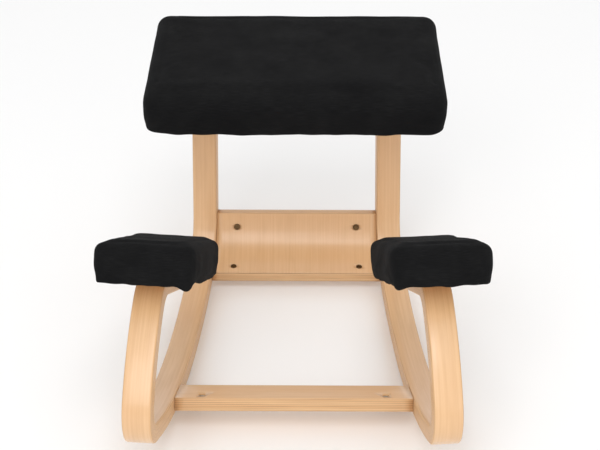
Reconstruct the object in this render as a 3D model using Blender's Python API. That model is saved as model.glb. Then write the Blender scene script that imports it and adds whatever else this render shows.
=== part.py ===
"""Rocking kneeling chair: two bent-laminated side frames, a curved back plate, a front
crossbar, a seat and two knee pads, bolted together with barrel nuts and tee nuts.

Each side frame is one plywood strip bent in a flat plane. The planes splay outwards
towards the front. Along a side frame, "station" is the distance forward of the rear
upright and "height" is the height over the floor. The chair faces -Y.
"""

import math

import bmesh
import bpy
from mathutils import Matrix, Vector

MM = 0.001
GAP = 0.3 * MM                    # clearance between pieces that touch

# Side frame strip, measured on its centre line
STRIP_WIDTH = 41.5 * MM           # across the strip, left to right
STRIP_THICKNESS = 28 * MM         # through the plies
EDGE_ROUND = 2.5 * MM             # softened edges of the strip
SPLAY = math.radians(4.9)         # each frame's plane turns outwards towards the front
HALF_SPREAD = 138 * MM            # chair centre to a frame's inner face, at station 0
RUNNER_RADIUS = 800 * MM          # underside of the rocker runner
CONTACT_STATION = 261.5 * MM      # where the runner stands on the floor
RUNNER_FLAT = 1.4 * MM            # depth ground off the runner, which gives it a flat to rest on
RUNNER_FRONT_DEG = 28.4           # runner arc ahead of the contact
RUNNER_REAR_DEG = 12.7            # runner arc behind the contact
FRONT_BEND_RADIUS = 43 * MM
FRONT_BEND_DEG = 97.1
ARM_RADIUS = 295 * MM             # slow curve of the knee pad's arm
ARM_DEG = 28.0
HOOK_RADIUS = 56 * MM             # tight bend over to the knee pad's rest
KNEE_TILT_DEG = 29.5              # the knee pads slope down to the rear
KNEE_REST_LENGTH = 120 * MM
REAR_BEND_RADIUS = 89 * MM
UPRIGHT_LEAN_DEG = 9.2            # the uprights lean back
UPRIGHT_LENGTH = 233.5 * MM
TOP_BEND_RADIUS = 45 * MM
SEAT_TILT_DEG = 1.9               # the seat slopes down to the front
SEAT_REST_LENGTH = 150 * MM

# Back plate: a curved panel that follows the rear bend's centre line
PLATE_THICKNESS = 18.5 * MM
PLATE_TOP_HEIGHT = 105.9 * MM
PLATE_FRONT_STATION = 108.2 * MM
PLATE_NUT_SPOTS = ((25 * MM, 83 * MM), (88 * MM, 34.5 * MM))   # station, height of each bolt line
PLATE_NUT_INSET = 36 * MM         # from the side frame's inner face to the nut
BORE_OVERRUN = 10 * MM            # cutters start this far outside the piece

# Crossbar, lying along the runner
BAR_THICKNESS = 21.5 * MM
BAR_DEPTH = 54.5 * MM
BAR_BEVEL = 1.25 * MM
BAR_SPOT = (474 * MM, 42 * MM)    # station, height of its middle on the runner
BAR_NUT_INSET = 40 * MM
BAR_BOLT_OFFSET = 12 * MM         # bolt ahead of the bar's middle, dowel behind it
DOWEL_RADIUS = 4 * MM
DOWEL_LENGTH = 36 * MM
DOWEL_BEVEL = 1 * MM

# Fasteners
BOLT_RADIUS = 3 * MM
BOLT_HOLE_RADIUS = 3.4 * MM
BOLT_HEAD_RADIUS = 7.5 * MM
BOLT_HEAD_HEIGHT = 3.2 * MM
BOLT_HEAD_CROWN = 1 * MM
HEX_SOCKET_RADIUS = 2.2 * MM      # to the socket's corners
HEX_SOCKET_DEPTH = 2 * MM
COUNTERBORE_DEPTH = 3.7 * MM      # the frame bolts' heads lie just under the outer faces
COUNTERBORE_RADIUS = 8.2 * MM
BARREL_RADIUS = 5 * MM
BARREL_HOLE_RADIUS = 5.3 * MM
BARREL_SINK = 0.8 * MM            # the nut lies this far under the panel's face
BARREL_BEVEL = 0.5 * MM
BOLT_RUNOUT = 12.5 * MM           # a panel's bolt holes run on this far past the nut's middle
SLOT_WIDTH = 1.4 * MM             # screwdriver slot in the nut's end
SLOT_DEPTH = 1.2 * MM
TEE_FLANGE_RADIUS = 9.5 * MM
TEE_FLANGE_HEIGHT = 1.2 * MM
TEE_BARREL_RADIUS = 4.4 * MM
TEE_DEPTH = 9 * MM
TEE_BOLT_SHORT = 1.5 * MM         # the pad bolts stop this far under the board's top

# Cushions
SEAT_BOARD_THICKNESS = 12 * MM
KNEE_BOARD_THICKNESS = 15 * MM
COVER_THICKNESS = 2 * MM
COVER_SKIRT = 8 * MM              # the cover hangs this far below the board
BOARD_MARGIN = 4 * MM             # between the board's edge and the cover
LEAST_CORNER = 6 * MM             # the smallest corner radius near a cushion's top
SEAT_SIZE = (466 * MM, 306 * MM)  # across, front to back, over the cover
SEAT_FOAM_HEIGHT = 42 * MM
SEAT_CORNER = 30 * MM
SEAT_REAR_STATION = -43 * MM
SEAT_ROLLS = (17 * MM, 36 * MM)   # rounding of the upper edges: sides and rear, then front
SEAT_BOLT_STATIONS = (64 * MM, 139 * MM)
KNEE_SIZE = (143 * MM, 265 * MM)
KNEE_FOAM_HEIGHT = 32.5 * MM
KNEE_CORNER = 24 * MM
KNEE_ROLLS = (15 * MM, 26 * MM)
KNEE_FRONT_STATION = 588 * MM     # front face of the knee pad
KNEE_INWARD = 2.5 * MM            # the pads sit slightly inward of their frames
KNEE_BOLT_SPOTS = (30 * MM, 90 * MM)   # along the knee rest from the hook

ARC_STEP = 12 * MM                # chord length along curved pieces
ARC_STEP_DEG = 7                  # and the most an arc may turn in one chord
CIRCLE_SIDES = 24
CORNER_STEPS = 5
ROLL_STEPS = 5
SHARP_DEG = 35                    # edges sharper than this are not shaded smooth
SIDES = (("left", -1), ("right", 1))


# ---------------------------------------------------------------- materials

def material(name, color, roughness, metallic=0.0):
    """A Principled material, made once and shared."""
    found = bpy.data.materials.get(name)
    if found:
        return found
    made = bpy.data.materials.new(name)
    made.use_nodes = True
    shader = made.node_tree.nodes["Principled BSDF"]
    shader.inputs["Base Color"].default_value = (*color, 1.0)
    shader.inputs["Roughness"].default_value = roughness
    shader.inputs["Metallic"].default_value = metallic
    made.diffuse_color = (*color, 1.0)
    return made


def birch():
    return material("birch_lacquered", (0.72, 0.49, 0.28), 0.42)


def plywood():
    return material("plywood_board", (0.55, 0.38, 0.22), 0.7)


def beech():
    return material("beech_dowel", (0.66, 0.45, 0.27), 0.6)


def bronze():
    return material("bronzed_steel", (0.16, 0.10, 0.05), 0.4, 1.0)


def zinc():
    return material("zinc_steel", (0.62, 0.63, 0.65), 0.35, 1.0)


def foam():
    return material("cushion_foam", (0.80, 0.74, 0.55), 0.9)


def black_fabric():
    return material("black_fabric", (0.012, 0.012, 0.013), 0.92)


# ---------------------------------------------------------------- mesh helpers

def link(name, mesh, surface, parent):
    """A named object for a mesh, shaded smooth between sharp edges."""
    mesh.materials.clear()
    mesh.materials.append(surface)
    mesh.shade_smooth()
    mesh.set_sharp_from_angle(angle=math.radians(SHARP_DEG))
    made = bpy.data.objects.new(name, mesh)
    made.parent = parent
    bpy.context.scene.collection.objects.link(made)
    return made


def mesh_from(bm, name):
    """Close a bmesh into mesh data with its faces pointing out."""
    bmesh.ops.recalc_face_normals(bm, faces=bm.faces)
    mesh = bpy.data.meshes.new(name)
    bm.to_mesh(mesh)
    bm.free()
    return mesh


def loft(loops, name):
    """A closed body through equal loops of points, capped at both ends."""
    bm = bmesh.new()
    rings = [[bm.verts.new(point) for point in loop] for loop in loops]
    count = len(rings[0])
    for ring, following in zip(rings, rings[1:]):
        for i in range(count):
            j = (i + 1) % count
            bm.faces.new((ring[i], ring[j], following[j], following[i]))
    bm.faces.new(rings[0])
    bm.faces.new(list(reversed(rings[-1])))
    return mesh_from(bm, name)


def circle(radius, height, sides=CIRCLE_SIDES):
    return [Vector((radius * math.cos(2 * math.pi * i / sides),
                    radius * math.sin(2 * math.pi * i / sides), height)) for i in range(sides)]


def turned(profile, name, sides=CIRCLE_SIDES):
    """A solid of revolution about Z through (radius, height) pairs, bottom to top."""
    return loft([circle(radius, height, sides) for radius, height in profile], name)


def along(axis, at):
    """A matrix that stands local Z along an axis at a point."""
    turn = Vector(axis).normalized().to_track_quat("Z", "Y").to_matrix().to_4x4()
    return Matrix.Translation(at) @ turn


def cutter(mesh, matrix):
    """A hidden object that a Boolean subtracts."""
    made = bpy.data.objects.new("cutter", mesh)
    made.matrix_world = matrix
    made.hide_render = True
    made.display_type = "WIRE"
    bpy.context.scene.collection.objects.link(made)
    return made


def cut_away(target, tools):
    """Subtract cutters from an object and keep the result as its mesh."""
    for tool in tools:
        boolean = target.modifiers.new("cut", "BOOLEAN")
        boolean.operation = "DIFFERENCE"
        boolean.solver = "EXACT"
        boolean.object = tool
    bpy.context.view_layer.update()
    evaluated = target.evaluated_get(bpy.context.evaluated_depsgraph_get())
    cut = bpy.data.meshes.new_from_object(evaluated)
    target.modifiers.clear()
    target.data = cut
    target.data.shade_smooth()
    target.data.set_sharp_from_angle(angle=math.radians(SHARP_DEG))
    for tool in tools:
        bpy.data.objects.remove(tool)


def bore(radius, start, end):
    """A round cutter from one point to another."""
    axis = end - start
    return cutter(turned(((radius, 0), (radius, axis.length)), "bore"), along(axis, start))


# ---------------------------------------------------------------- the side frame's centre line

def step_arc(point, heading, radius, angle, turn):
    """Points along an arc from a point; turn is 1 to the left and -1 to the right."""
    normal = Vector((-math.sin(heading), math.cos(heading))) * turn
    centre = point + normal * radius
    count = max(4, round(radius * angle / ARC_STEP), round(math.degrees(angle) / ARC_STEP_DEG))
    made = []
    for i in range(1, count + 1):
        bearing = heading + turn * angle * i / count
        side = Vector((-math.sin(bearing), math.cos(bearing))) * turn
        made.append((centre - side * radius, bearing))
    return made


def step_line(point, heading, length):
    """The end of a straight run."""
    return [(point + Vector((math.cos(heading), math.sin(heading))) * length, heading)]


def walk(start, heading, steps):
    """Chain arcs and straights into a list of (point, heading) pairs."""
    path = [(start, heading)]
    for kind, *sizes in steps:
        point, bearing = path[-1]
        if kind == "arc":
            radius, degrees, turn = sizes
            path += step_arc(point, bearing, radius, math.radians(degrees), turn)
        else:
            path += step_line(point, bearing, sizes[0])
    return path


def strip_path():
    """(station, height) points and headings, from the seat arm's tip to the knee rest's tip."""
    ground = Vector((CONTACT_STATION, STRIP_THICKNESS / 2 - RUNNER_FLAT))
    runner = RUNNER_RADIUS - STRIP_THICKNESS / 2
    knee_heading = 180 + KNEE_TILT_DEG
    hook_deg = knee_heading - RUNNER_FRONT_DEG - FRONT_BEND_DEG - ARM_DEG
    forward = walk(ground, 0.0, (
        ("arc", runner, RUNNER_FRONT_DEG, 1),
        ("arc", FRONT_BEND_RADIUS, FRONT_BEND_DEG, 1),
        ("arc", ARM_RADIUS, ARM_DEG, 1),
        ("arc", HOOK_RADIUS, hook_deg, 1),
        ("line", KNEE_REST_LENGTH),
    ))
    upright_deg = 90 + UPRIGHT_LEAN_DEG
    backward = walk(ground, math.pi, (
        ("arc", runner, RUNNER_REAR_DEG, -1),
        ("arc", REAR_BEND_RADIUS, 180 - RUNNER_REAR_DEG - upright_deg, -1),
        ("line", UPRIGHT_LENGTH),
        ("arc", TOP_BEND_RADIUS, upright_deg + SEAT_TILT_DEG, -1),
        ("line", SEAT_REST_LENGTH),
    ))
    rear_half = [(point, heading + math.pi) for point, heading in reversed(backward)]
    return rear_half + forward[1:]


PATH = strip_path()


def nearest(station, height):
    """The centre line's point and heading nearest to a spot, read along its chords."""
    spot = Vector((station, height))
    best = None
    for (start, bearing), (end, following) in zip(PATH, PATH[1:]):
        run = end - start
        share = min(max((spot - start).dot(run) / run.length_squared, 0.0), 1.0)
        point = start + run * share
        far = (spot - point).length
        if best is None or far < best[0]:
            best = (far, point, bearing + (following - bearing) * share)
    return best[1], best[2]


def to_world(side, station, height, outward):
    """A spot on a side frame, outward of its inner face, in the chair's own axes."""
    x = HALF_SPREAD + station * math.sin(SPLAY) + outward * math.cos(SPLAY)
    y = -station * math.cos(SPLAY) + outward * math.sin(SPLAY)
    return Vector((side * x, y, height))


def outward_axis(side):
    """The direction out of a side frame's outer face."""
    return Vector((side * math.cos(SPLAY), math.sin(SPLAY), 0.0))


# ---------------------------------------------------------------- side frames

def strip_section():
    """The strip's section as (outward, across the plies) pairs with rounded corners."""
    half = STRIP_THICKNESS / 2
    corners = ((STRIP_WIDTH, half, 0), (0, half, 90), (0, -half, 180), (STRIP_WIDTH, -half, 270))
    made = []
    for outward, ply, start in corners:
        centre_u = outward + (-EDGE_ROUND if outward else EDGE_ROUND)
        centre_v = ply + (-EDGE_ROUND if ply > 0 else EDGE_ROUND)
        for turn in (0, 45, 90):
            angle = math.radians(start + turn)
            made.append((centre_u + EDGE_ROUND * math.cos(angle),
                         centre_v + EDGE_ROUND * math.sin(angle)))
    return made


def side_frame(name, side, parent):
    """One bent strip, with its bolt and dowel holes."""
    section = strip_section()
    loops = []
    for point, heading in PATH:
        across = Vector((-math.sin(heading), math.cos(heading)))
        loop = []
        for outward, ply in section:
            spot = point + across * ply
            loop.append(to_world(side, spot.x, max(spot.y, 0.0), outward))
        loops.append(loop)
    made = link(name, loft(loops, name), birch(), parent)
    holes = []
    for _, nut_side, at, _, _, _ in nut_seats():
        if nut_side == side:
            outer = to_world(side, at.x, at.y, STRIP_WIDTH + BORE_OVERRUN)
            floor = to_world(side, at.x, at.y, STRIP_WIDTH - COUNTERBORE_DEPTH)
            holes.append(bore(BOLT_HOLE_RADIUS, to_world(side, at.x, at.y, -BORE_OVERRUN), outer))
            holes.append(bore(COUNTERBORE_RADIUS, floor, outer))
    station, height = bar_spot(-BAR_BOLT_OFFSET)
    holes.append(bore(DOWEL_RADIUS + GAP, to_world(side, station, height, -BORE_OVERRUN),
                      to_world(side, station, height, DOWEL_LENGTH / 2 + GAP)))
    for at, axis in seat_bolt_spots(side) + knee_bolt_spots(side):
        holes.append(bore(BOLT_HOLE_RADIUS, at - axis * (STRIP_THICKNESS + BORE_OVERRUN),
                          at + axis * BORE_OVERRUN))
    cut_away(made, holes)
    return made


# ---------------------------------------------------------------- panels between the frames

def spanning_panel(name, outline, parent):
    """A panel whose outline is extruded from one side frame's inner face to the other's."""
    loops = [[to_world(side, station, height, -GAP) for station, height in outline]
             for side in (-1, 1)]
    return link(name, loft(loops, name), birch(), parent)


def plate_outline():
    """The back plate's edge-on outline: the centre line between its ends, offset both ways."""
    half = PLATE_THICKNESS / 2
    top, _ = nearest(0.0, PLATE_TOP_HEIGHT)
    inner, outer = [], []
    started = False
    middle = [(top, nearest(top.x, top.y)[1])]
    for point, heading in PATH:
        if point.y < PLATE_TOP_HEIGHT and point.x < PLATE_FRONT_STATION:
            middle.append((point, heading))
            started = True
        elif started:
            break
    last, _ = nearest(PLATE_FRONT_STATION, middle[-1][0].y)
    middle.append((last, nearest(last.x, last.y)[1]))
    for point, heading in middle:
        across = Vector((-math.sin(heading), math.cos(heading))) * half
        inner.append(tuple(point + across))
        outer.append(tuple(point - across))
    return inner + list(reversed(outer))


def bar_frame():
    """The crossbar's middle, its direction along the runner and its upward normal."""
    on_line, heading = nearest(*BAR_SPOT)
    forward = Vector((math.cos(heading), math.sin(heading)))
    up = Vector((-math.sin(heading), math.cos(heading)))
    middle = on_line + up * (STRIP_THICKNESS - BAR_THICKNESS) / 2
    return middle, forward, up


def bar_spot(offset):
    """(station, height) of a bolt or dowel in the crossbar, offset along the bar's depth."""
    middle, forward, _ = bar_frame()
    return tuple(middle + forward * offset)


def bar_outline():
    """The crossbar's section, its four edges bevelled."""
    middle, forward, up = bar_frame()
    half_depth = forward * BAR_DEPTH / 2
    half_height = up * BAR_THICKNESS / 2
    corners = (half_depth + half_height, half_height - half_depth,
               -half_depth - half_height, half_depth - half_height)
    made = []
    for i, corner in enumerate(corners):
        before = corners[i - 1] - corner
        after = corners[(i + 1) % 4] - corner
        made.append(tuple(middle + corner + before.normalized() * BAR_BEVEL))
        made.append(tuple(middle + corner + after.normalized() * BAR_BEVEL))
    return made


def nut_seats():
    """(name, side, (station, height), inset, normal, panel thickness) for each barrel nut."""
    made = []
    _, _, up = bar_frame()
    for side_name, side in SIDES:
        for level, (station, height) in zip(("upper", "lower"), PLATE_NUT_SPOTS):
            at, heading = nearest(station, height)
            normal = Vector((-math.sin(heading), math.cos(heading)))
            made.append((f"plate_nut_{level}_{side_name}", side, at, PLATE_NUT_INSET, normal,
                         PLATE_THICKNESS))
        made.append((f"crossbar_nut_{side_name}", side, Vector(bar_spot(BAR_BOLT_OFFSET)),
                     BAR_NUT_INSET, up, BAR_THICKNESS))
    return made


def panel_normal(side, normal):
    """A (station, height) direction in the chair's own axes."""
    return Vector((side * normal.x * math.sin(SPLAY), -normal.x * math.cos(SPLAY), normal.y))


def barrel_nut(name, side, at, inset, normal, thickness, parent):
    """A slotted barrel nut, cross-bored for its bolt."""
    axis = panel_normal(side, normal)
    middle = to_world(side, at.x, at.y, -inset)
    reach = thickness / 2 - BARREL_SINK
    profile = ((BARREL_RADIUS - BARREL_BEVEL, -reach), (BARREL_RADIUS, BARREL_BEVEL - reach),
               (BARREL_RADIUS, reach - BARREL_BEVEL), (BARREL_RADIUS - BARREL_BEVEL, reach))
    mesh = turned(profile, name)
    mesh.transform(along(axis, middle))
    made = link(name, mesh, bronze(), parent)
    slot = bpy.data.meshes.new("slot")
    bm = bmesh.new()
    bmesh.ops.create_cube(bm, size=1.0)
    bmesh.ops.scale(bm, verts=bm.verts, vec=(4 * BARREL_RADIUS, SLOT_WIDTH, 2 * SLOT_DEPTH))
    bm.to_mesh(slot)
    bm.free()
    across = outward_axis(side) * 2 * BARREL_RADIUS
    tools = [bore(BOLT_HOLE_RADIUS, middle - across, middle + across),
             cutter(slot, along(axis, middle + axis * reach))]
    cut_away(made, tools)
    return made


def bore_panel(panel, thickness, names):
    """Cut a panel's blind barrel holes and bolt holes."""
    tools = []
    for name, side, at, inset, normal, _ in nut_seats():
        if not name.startswith(names):
            continue
        axis = panel_normal(side, normal)
        middle = to_world(side, at.x, at.y, -inset)
        floor = thickness / 2 - BARREL_SINK + GAP
        tools.append(bore(BARREL_HOLE_RADIUS, middle - axis * floor, middle + axis * thickness))
        tools.append(bore(BOLT_HOLE_RADIUS, middle - outward_axis(side) * BOLT_RUNOUT,
                          middle + outward_axis(side) * (inset + BARREL_RADIUS)))
    cut_away(panel, tools)


def back_plate(parent):
    """The curved panel between the rear bends."""
    made = spanning_panel("back_plate", plate_outline(), parent)
    bore_panel(made, PLATE_THICKNESS, "plate_nut")
    return made


def crossbar(parent):
    """The straight bar between the runners, with its dowel holes."""
    made = spanning_panel("crossbar", bar_outline(), parent)
    bore_panel(made, BAR_THICKNESS, "crossbar_nut")
    tools = []
    station, height = bar_spot(-BAR_BOLT_OFFSET)
    for _, side in SIDES:
        tools.append(bore(DOWEL_RADIUS + GAP, to_world(side, station, height, -DOWEL_LENGTH / 2 - GAP),
                          to_world(side, station, height, DOWEL_RADIUS)))
    cut_away(made, tools)
    return made


# ---------------------------------------------------------------- fasteners

def bolt(name, head_at, axis, reach, surface, parent):
    """A pan-head hex bolt whose head sits at head_at and whose shank runs along axis."""
    profile = ((BOLT_HEAD_RADIUS - BOLT_HEAD_CROWN, -BOLT_HEAD_HEIGHT),
               (BOLT_HEAD_RADIUS, BOLT_HEAD_CROWN - BOLT_HEAD_HEIGHT),
               (BOLT_HEAD_RADIUS, -GAP), (BOLT_RADIUS, -GAP), (BOLT_RADIUS, reach - BOLT_RADIUS / 3),
               (BOLT_RADIUS * 2 / 3, reach))
    mesh = turned(profile, name)
    place = along(axis, head_at)
    mesh.transform(place)
    made = link(name, mesh, surface, parent)
    socket = turned(((HEX_SOCKET_RADIUS, -BOLT_HEAD_HEIGHT - MM),
                     (HEX_SOCKET_RADIUS, HEX_SOCKET_DEPTH - BOLT_HEAD_HEIGHT)), "socket", 6)
    cut_away(made, [cutter(socket, place)])
    return made


def frame_bolts(parent):
    """Bolts through the side frames into the barrel nuts, and the crossbar's dowels."""
    for name, side, at, inset, _, _ in nut_seats():
        head_depth = STRIP_WIDTH - COUNTERBORE_DEPTH
        head_at = to_world(side, at.x, at.y, head_depth)
        reach = head_depth + inset + BARREL_RADIUS
        bolt(name.replace("nut", "bolt"), head_at, -outward_axis(side), reach, bronze(), parent)
    station, height = bar_spot(-BAR_BOLT_OFFSET)
    for side_name, side in SIDES:
        mesh = turned(((DOWEL_RADIUS - DOWEL_BEVEL, 0), (DOWEL_RADIUS, DOWEL_BEVEL),
                       (DOWEL_RADIUS, DOWEL_LENGTH - DOWEL_BEVEL),
                       (DOWEL_RADIUS - DOWEL_BEVEL, DOWEL_LENGTH)), "dowel")
        start = to_world(side, station, height, -DOWEL_LENGTH / 2)
        mesh.transform(along(outward_axis(side), start))
        link(f"crossbar_dowel_{side_name}", mesh, beech(), parent)


def seat_bolt_spots(side):
    """(point on the seat rest's upper face, its upward normal) for each seat bolt."""
    made = []
    for station in SEAT_BOLT_STATIONS:
        at, heading = nearest(station, PATH[0][0].y)
        normal = -Vector((-math.sin(heading), math.cos(heading)))
        top = at + normal * STRIP_THICKNESS / 2
        made.append((to_world(side, top.x, top.y, STRIP_WIDTH / 2), panel_normal(side, normal)))
    return made


def knee_bolt_spots(side):
    """(point on the knee rest's upper face, its upward normal) for each knee pad bolt."""
    tip, heading = PATH[-1]
    forward = Vector((math.cos(heading), math.sin(heading)))
    normal = -Vector((-math.sin(heading), math.cos(heading)))
    made = []
    for run in KNEE_BOLT_SPOTS:
        top = tip - forward * (KNEE_REST_LENGTH - run) + normal * STRIP_THICKNESS / 2
        made.append((to_world(side, top.x, top.y, STRIP_WIDTH / 2), panel_normal(side, normal)))
    return made


def tee_nut(name, board_bottom, axis, board_thickness, parent):
    """A tee nut let into a board's upper face, threaded onto its bolt."""
    top = board_thickness - GAP
    wall = BOLT_RADIUS + GAP
    outer = [circle(r, z) for r, z in ((TEE_BARREL_RADIUS, top - TEE_DEPTH),
                                       (TEE_BARREL_RADIUS, top - TEE_FLANGE_HEIGHT),
                                       (TEE_FLANGE_RADIUS, top - TEE_FLANGE_HEIGHT),
                                       (TEE_FLANGE_RADIUS, top))]
    inner = [circle(wall, top), circle(wall, top - TEE_DEPTH)]
    mesh = ring_of(outer + inner, name)
    mesh.transform(along(axis, board_bottom))
    link(name, mesh, zinc(), parent)


def ring_of(loops, name):
    """A closed ring through loops that end where they began, such as a bush."""
    bm = bmesh.new()
    rings = [[bm.verts.new(point) for point in loop] for loop in loops]
    count = len(rings[0])
    for k, ring in enumerate(rings):
        following = rings[(k + 1) % len(rings)]
        for i in range(count):
            j = (i + 1) % count
            bm.faces.new((ring[i], ring[j], following[j], following[i]))
    return mesh_from(bm, name)


# ---------------------------------------------------------------- cushions

def rounded_rectangle(width, depth, corner, height, shift=0.0):
    """Points round a rectangle with rounded corners, its middle shifted along Y."""
    made = []
    for sx, sy, start in ((1, 1, 0), (-1, 1, 90), (-1, -1, 180), (1, -1, 270)):
        centre = Vector((sx * (width / 2 - corner), sy * (depth / 2 - corner) + shift))
        for i in range(CORNER_STEPS + 1):
            angle = math.radians(start + 90 * i / CORNER_STEPS)
            made.append(Vector((centre.x + corner * math.cos(angle),
                                centre.y + corner * math.sin(angle), height)))
    return made


def roll_in(height, top, roll):
    """How far a rolled upper edge has pulled in at a height."""
    climb = max(0.0, height - (top - roll))
    return roll - math.sqrt(max(0.0, roll ** 2 - climb ** 2))


def cushion_loops(size, corner, rolls, bottom, top, inset):
    """Loops of a cushion from its bottom to its top, whose upper edges roll over."""
    width, depth = size[0] - 2 * inset, size[1] - 2 * inset
    side_roll, front_roll = rolls
    radius = corner - inset / 2
    loops = [rounded_rectangle(width, depth, radius, bottom)]
    for i in range(ROLL_STEPS + 1):
        height = top - front_roll * (1 - math.sin(math.radians(90 * i / ROLL_STEPS)))
        side, front = roll_in(height, top, side_roll), roll_in(height, top, front_roll)
        loops.append(rounded_rectangle(width - 2 * side, depth - side - front,
                                       max(radius - side / 2, LEAST_CORNER), height,
                                       (front - side) / 2))
    return loops


def cushion(prefix, size, corner, rolls, thicknesses, place, bolts, parent):
    """A board, a foam block and a cover open underneath. place stands on the board's bottom."""
    board_thickness, foam_height = thicknesses
    clear = COVER_THICKNESS + GAP
    board_inset = clear + BOARD_MARGIN
    board = loft([rounded_rectangle(size[0] - 2 * board_inset, size[1] - 2 * board_inset,
                                    corner - board_inset / 2, z) for z in (GAP, board_thickness)],
                 f"{prefix}_board")
    board.transform(place)
    made_board = link(f"{prefix}_board", board, plywood(), parent)
    tools = []
    flange_floor = board_thickness - TEE_FLANGE_HEIGHT - 2 * GAP
    for at, axis in bolts:
        above = at + axis * (board_thickness + BORE_OVERRUN)
        tools.append(bore(TEE_BARREL_RADIUS + GAP, at - axis * BORE_OVERRUN, above))
        tools.append(bore(TEE_FLANGE_RADIUS + GAP, at + axis * flange_floor, above))
    cut_away(made_board, tools)
    foam_bottom = board_thickness + GAP
    foam_top = foam_bottom + foam_height
    block = loft(cushion_loops(size, corner, rolls, foam_bottom, foam_top, clear + GAP), "foam")
    block.transform(place)
    link(f"{prefix}_foam", block, foam(), parent)
    outer_rolls = [roll + COVER_THICKNESS for roll in rolls]
    outer = cushion_loops(size, corner, outer_rolls, -COVER_SKIRT, foam_top + clear, 0.0)
    inner = cushion_loops(size, corner, rolls, -COVER_SKIRT, foam_top + GAP, COVER_THICKNESS)
    link(f"{prefix}_cover", shell(outer, inner, f"{prefix}_cover", place), black_fabric(), parent)


def shell(outer, inner, name, place):
    """A cover: an outer and an inner dome joined round the open bottom edge."""
    bm = bmesh.new()
    skins = []
    for loops in (outer, inner):
        rings = [[bm.verts.new(point) for point in loop] for loop in loops]
        skins.append(rings)
        count = len(rings[0])
        for ring, following in zip(rings, rings[1:]):
            for i in range(count):
                j = (i + 1) % count
                bm.faces.new((ring[i], ring[j], following[j], following[i]))
        bm.faces.new(rings[-1])
    low, high = skins[0][0], skins[1][0]
    for i in range(len(low)):
        j = (i + 1) % len(low)
        bm.faces.new((low[i], low[j], high[j], high[i]))
    mesh = mesh_from(bm, name)
    mesh.transform(place)
    return mesh


def seat_place():
    """Where the seat stands: its board's bottom centre, tilted down to the front."""
    tilt = math.radians(SEAT_TILT_DEG)
    tip, _ = PATH[0]
    rest = tip + Vector((math.sin(tilt), math.cos(tilt))) * STRIP_THICKNESS / 2
    middle = SEAT_REAR_STATION + SEAT_SIZE[1] / 2 * math.cos(tilt)
    height = rest.y - (middle - rest.x * math.cos(SPLAY)) * math.tan(tilt)
    return Matrix.Translation((0.0, -middle, height)) @ Matrix.Rotation(tilt, 4, "X")


def knee_place(side):
    """Where a knee pad stands: its board's bottom centre, in line with its side frame."""
    tilt = math.radians(KNEE_TILT_DEG)
    tip, heading = PATH[-1]
    normal = -Vector((-math.sin(heading), math.cos(heading)))
    rest = tip + normal * STRIP_THICKNESS / 2
    station = KNEE_FRONT_STATION - KNEE_SIZE[1] / 2 * math.cos(tilt)
    height = rest.y + (station - rest.x) * math.tan(tilt)
    at = to_world(side, station, height, STRIP_WIDTH / 2 - KNEE_INWARD)
    turn = Matrix.Rotation(side * SPLAY, 4, "Z") @ Matrix.Rotation(-tilt, 4, "X")
    return Matrix.Translation(at) @ turn


def seat(parent):
    """The seat cushion and the bolts that hold it to both seat arms."""
    spots = [(side_name, spot) for side_name, side in SIDES for spot in seat_bolt_spots(side)]
    cushion("seat", SEAT_SIZE, SEAT_CORNER, SEAT_ROLLS, (SEAT_BOARD_THICKNESS, SEAT_FOAM_HEIGHT),
            seat_place(), [spot for _, spot in spots], parent)
    fasten("seat", spots, ("rear", "front"), SEAT_BOARD_THICKNESS, parent)


def knee_pads(parent):
    """Both knee pads and the bolts that hold each to its frame's knee rest."""
    for side_name, side in SIDES:
        spots = [(side_name, spot) for spot in knee_bolt_spots(side)]
        prefix = f"knee_{side_name}"
        cushion(prefix, KNEE_SIZE, KNEE_CORNER, KNEE_ROLLS, (KNEE_BOARD_THICKNESS, KNEE_FOAM_HEIGHT),
                knee_place(side), [spot for _, spot in spots], parent)
        fasten("knee", spots, ("front", "rear"), KNEE_BOARD_THICKNESS, parent)


def fasten(prefix, spots, ends, board_thickness, parent):
    """A bolt from under the frame and a tee nut in the board, at each spot."""
    for i, (side_name, (at, axis)) in enumerate(spots):
        end = ends[i % 2]
        bolt(f"{prefix}_bolt_{end}_{side_name}", at - axis * STRIP_THICKNESS, axis,
             STRIP_THICKNESS + board_thickness - TEE_BOLT_SHORT, zinc(), parent)
        tee_nut(f"{prefix}_tee_nut_{end}_{side_name}", at, axis, board_thickness, parent)


# ---------------------------------------------------------------- the whole chair

def clear_scene():
    """Empty the scene."""
    for existing in list(bpy.data.objects):
        bpy.data.objects.remove(existing)


def centre_over_origin(root):
    """Move the chair so that the middle of its footprint is at the origin."""
    bpy.context.view_layer.update()
    reach = [child.matrix_world @ Vector(corner) for child in root.children
             for corner in child.bound_box]
    low, high = min(point.y for point in reach), max(point.y for point in reach)
    root.location.y = -(low + high) / 2


def build():
    clear_scene()
    root = bpy.data.objects.new("kneeling_chair", None)
    bpy.context.scene.collection.objects.link(root)
    for side_name, side in SIDES:
        side_frame(f"side_frame_{side_name}", side, root)
    back_plate(root)
    crossbar(root)
    for seat_of_nut in nut_seats():
        barrel_nut(*seat_of_nut, root)
    frame_bolts(root)
    seat(root)
    knee_pads(root)
    centre_over_origin(root)


build()
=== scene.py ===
"""The looks of the rocking kneeling chair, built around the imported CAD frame.

The wooden strips, plate and crossbar are remade with rounded arrises, grain and ply lines.
The cushions are sewn covers shaped by cloth simulation. The bolts, nuts, dowels and boards
are the CAD's own, with materials added.
Along a side frame, "station" is the distance forward of the upright, as in the CAD.
"""
import math

import bmesh
import bpy
from mathutils import Matrix, Vector, noise


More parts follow.
